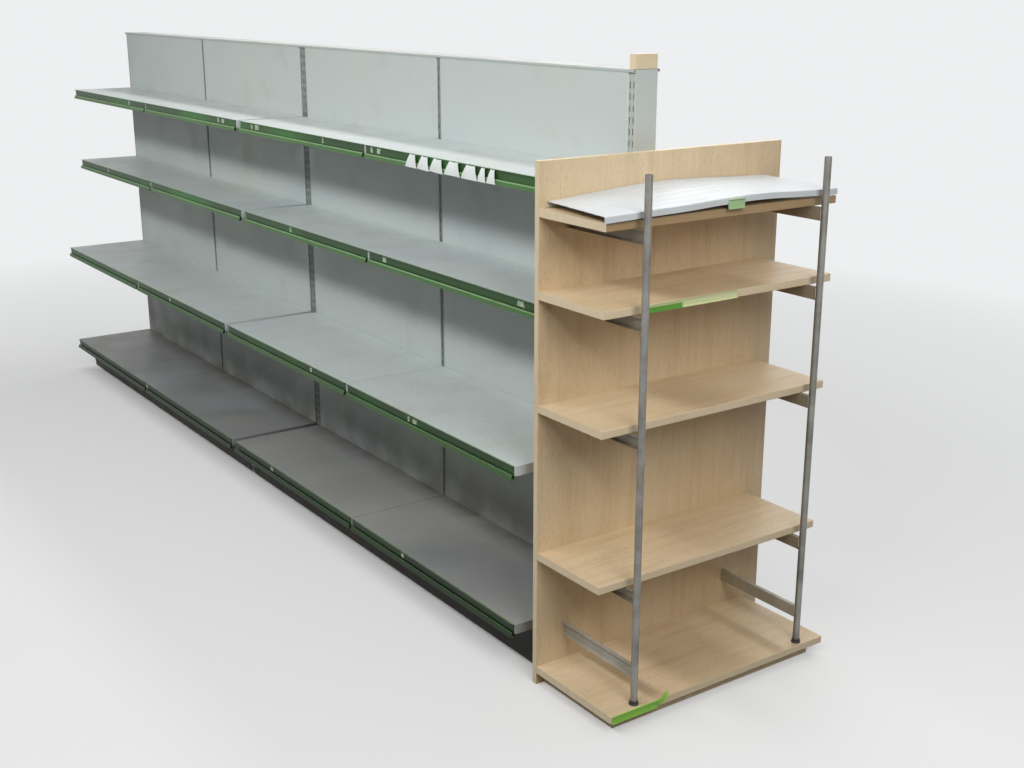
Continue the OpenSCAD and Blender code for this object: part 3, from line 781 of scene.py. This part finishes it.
tubeFeet = {
    "tubeX": 2.4032, "tubeY": 0.317, "shelfZ": 0.0583, "sides": 32,
    # radius and height of the dark sleeve round each tube's foot, from the shelf up
    "profile": [(0.0103, 0.0), (0.0138, 0.0), (0.0140, 0.0006), (0.0140, 0.0022), (0.0128, 0.0032),
                (0.0122, 0.0042), (0.0120, 0.0110), (0.0116, 0.0118), (0.0103, 0.0118)],
}


def addTubeFeet(work):
    # a turned sleeve round the foot of each front tube
    facts = tubeFeet
    for side in (-1, 1):
        rings = []
        for radius, up in facts["profile"]:
            ring = []
            for k in range(facts["sides"]):
                angle = 2 * math.pi * k / facts["sides"]
                x = facts["tubeX"] + radius * math.cos(angle)
                y = side * facts["tubeY"] + radius * math.sin(angle)
                ring.append(work.verts.new((x, y, facts["shelfZ"] + up)))
            rings.append(ring)
        for i, low in enumerate(rings):
            high = rings[(i + 1) % len(rings)]
            for k in range(facts["sides"]):
                j = (k + 1) % facts["sides"]
                work.faces.new([low[k], low[j], high[j], high[k]])


meshPiece("tube_feet", addTubeFeet, finishOf["foot"])
print("tube feet made")


footThread = {
    "radius": 0.005, "pitch": 0.0015, "fromZ": 0.0082, "toZ": 0.0215, "sides": 14,
    # the ridge's section: out from the stem's face, and up
    "ridge": [(-0.0002, -0.0006), (0.0006, 0.0), (-0.0002, 0.0006)],
}


def addThread(work, x, y):
    # one helical ridge round a foot's stem
    facts = footThread
    corners = len(facts["ridge"])
    steps = int((facts["toZ"] - facts["fromZ"]) / facts["pitch"] * facts["sides"])
    before = None
    for i in range(steps + 1):
        angle = 2 * math.pi * i / facts["sides"]
        z = facts["fromZ"] + facts["pitch"] * i / facts["sides"]
        ring = []
        for out, rise in facts["ridge"]:
            r = facts["radius"] + out
            ring.append(work.verts.new((x + r * math.cos(angle), y + r * math.sin(angle), z + rise)))
        if before:
            for k in range(corners):
                j = (k + 1) % corners
                work.faces.new([before[k], before[j], ring[j], ring[k]])
        else:
            work.faces.new(ring)
        before = ring
    work.faces.new(list(reversed(before)))


def addThreads(work):
    for x in run["uprights"]:
        for y in run["footRows"]:
            addThread(work, x, y)


meshPiece("foot_threads", addThreads, finishOf["tube"])
print("foot threads made")


def turnTowards(holder, fromPoint, toPoint):
    # put an object at a point and turn its own -Z towards another
    holder.location = fromPoint
    holder.rotation_mode = "QUATERNION"
    holder.rotation_quaternion = (Vector(toPoint) - Vector(fromPoint)).to_track_quat("-Z", "Y")


viewpoint = {
    "place": (4.8540, -2.4371, 1.9369), "aim": (1.345, 0.015, 0.6596), "lens": 46.4, "sensor": 36.0,
    "nearest": 0.05, "farthest": 200.0,
}
camera = bpy.data.objects.new("viewpoint", bpy.data.cameras.new("viewpoint"))
bpy.context.scene.collection.objects.link(camera)
turnTowards(camera, viewpoint["place"], viewpoint["aim"])
camera.data.lens = viewpoint["lens"]
camera.data.sensor_width = viewpoint["sensor"]
camera.data.clip_start, camera.data.clip_end = viewpoint["nearest"], viewpoint["farthest"]
bpy.context.scene.camera = camera
print("camera placed")


studio = {
    "floorColour": (233, 233, 231), "bounceColour": (92, 85, 76), "floorSize": 40.0, "floorRough": 0.8,
    "skyColour": (238, 239, 240), "skyFill": 0.13,
    "floorOwn": 0.46,     # share of the floor's shown tone that no light or shadow changes, near the part
    "clearFrom": 2.3, "clearTo": 5.2,     # metres over which the floor goes over into the backdrop
    "underEdge": 0.16,     # the floor goes dark over this width under the part's outline
    "lamps": {     # place, aim, size in metres, power in watts
        "aisleRow": ((1.2, -3.3, 3.75), (0.8, -0.1, 1.1), (6.2, 0.5), 138.0),
        "rearRow": ((-0.2, 3.3, 3.75), (-0.2, 0.1, 1.1), (6.2, 0.5), 74.0),
        "coreRow": ((-0.4, 0.98, 3.40), (-0.4, 0.0, 1.3), (4.6, 0.35), 44.0),
        "endPanel": ((4.9, -0.9, 2.9), (2.25, -0.05, 0.9), (1.6, 1.6), 60.0),
    },
}


def areaLight(name, spot, aim, size, power):
    lamp = bpy.data.lights.new(name, "AREA")
    lamp.shape = "RECTANGLE"
    lamp.size, lamp.size_y = size
    lamp.energy = power
    holder = bpy.data.objects.new(name, lamp)
    bpy.context.scene.collection.objects.link(holder)
    turnTowards(holder, spot, aim)
    holder.visible_camera = False


for lampName, lampFacts in studio["lamps"].items():
    areaLight(lampName, *lampFacts)


def shownRay(tree):
    # 1 where the camera, a mirror or glass looks straight at the backdrop
    ray = addNode(tree, "ShaderNodeLightPath").outputs
    return calc(tree, "MAXIMUM", ray["Is Camera Ray"],
                calc(tree, "MAXIMUM", ray["Is Glossy Ray"], ray["Is Transmission Ray"]))


def ownShare(tree):
    # how much of the floor shows its own tone: all of it far off, none of it under the part
    facts, edge = studio, studio["underEdge"]
    spot = place(tree)
    position = addNode(tree, "ShaderNodeTexCoord").outputs["Object"]
    away = addNode(tree, "ShaderNodeVectorMath", {0: position}, operation="LENGTH").outputs["Value"]
    share = spread(tree, away, facts["clearFrom"], facts["clearTo"], facts["floorOwn"], 1.0)
    middle, halfLength = (cadLow[0] + cadHigh[0]) / 2, (cadHigh[0] - cadLow[0]) / 2
    fromMiddle = magnitude(tree, calc(tree, "SUBTRACT", spot[0], middle))
    beyond = spread(tree, fromMiddle, halfLength - edge, halfLength, 0.0, 1.0)
    beside = spread(tree, magnitude(tree, spot[1]), cadHigh[1] - edge, cadHigh[1], 0.0, 1.0)
    return times(tree, share, calc(tree, "MAXIMUM", beside, beyond))


def floorFinish():
    # pale where it's seen, its own tone mixed with its lit one; darker where it throws light on the part
    material, tree, shader = newFinish("studioFloor")
    shader.inputs["Roughness"].default_value = studio["floorRough"]
    seen = shownRay(tree)
    base = mixColour(tree, seen, tint(*studio["bounceColour"]), tint(*studio["floorColour"]))
    tree.links.new(base, shader.inputs["Base Color"])
    own = addNode(tree, "ShaderNodeEmission", {0: tint(*studio["skyColour"]), 1: 1.0}).outputs[0]
    surface = addNode(tree, "ShaderNodeMixShader", {
        0: times(tree, seen, ownShare(tree)), 1: shader.outputs[0], 2: own}).outputs[0]
    tree.links.new(surface, tree.nodes["Material Output"].inputs["Surface"])
    return material


half = studio["floorSize"] / 2
floorMesh = bpy.data.meshes.new("studio_floor")
floorCorners = [(-half, -half, 0), (half, -half, 0), (half, half, 0), (-half, half, 0)]
floorMesh.from_pydata(floorCorners, [], [(0, 1, 2, 3)])
floorMesh.materials.append(floorFinish())
floor = bpy.data.objects.new("studio_floor", floorMesh)
bpy.context.scene.collection.objects.link(floor)

world = bpy.data.worlds.new("studioSky")
bpy.context.scene.world = world
world.use_nodes = True
skyTree = world.node_tree
skyTree.nodes.clear()
skyColour = tint(*studio["skyColour"])
fill = addNode(skyTree, "ShaderNodeBackground", {0: skyColour, 1: studio["skyFill"]}).outputs[0]
shown = addNode(skyTree, "ShaderNodeBackground", {0: skyColour, 1: 1.0}).outputs[0]
sky = addNode(skyTree, "ShaderNodeMixShader", {0: shownRay(skyTree), 1: fill, 2: shown}).outputs[0]
addNode(skyTree, "ShaderNodeOutputWorld", {0: sky})
bpy.context.scene.view_settings.view_transform = "Standard"
print("light and floor set")
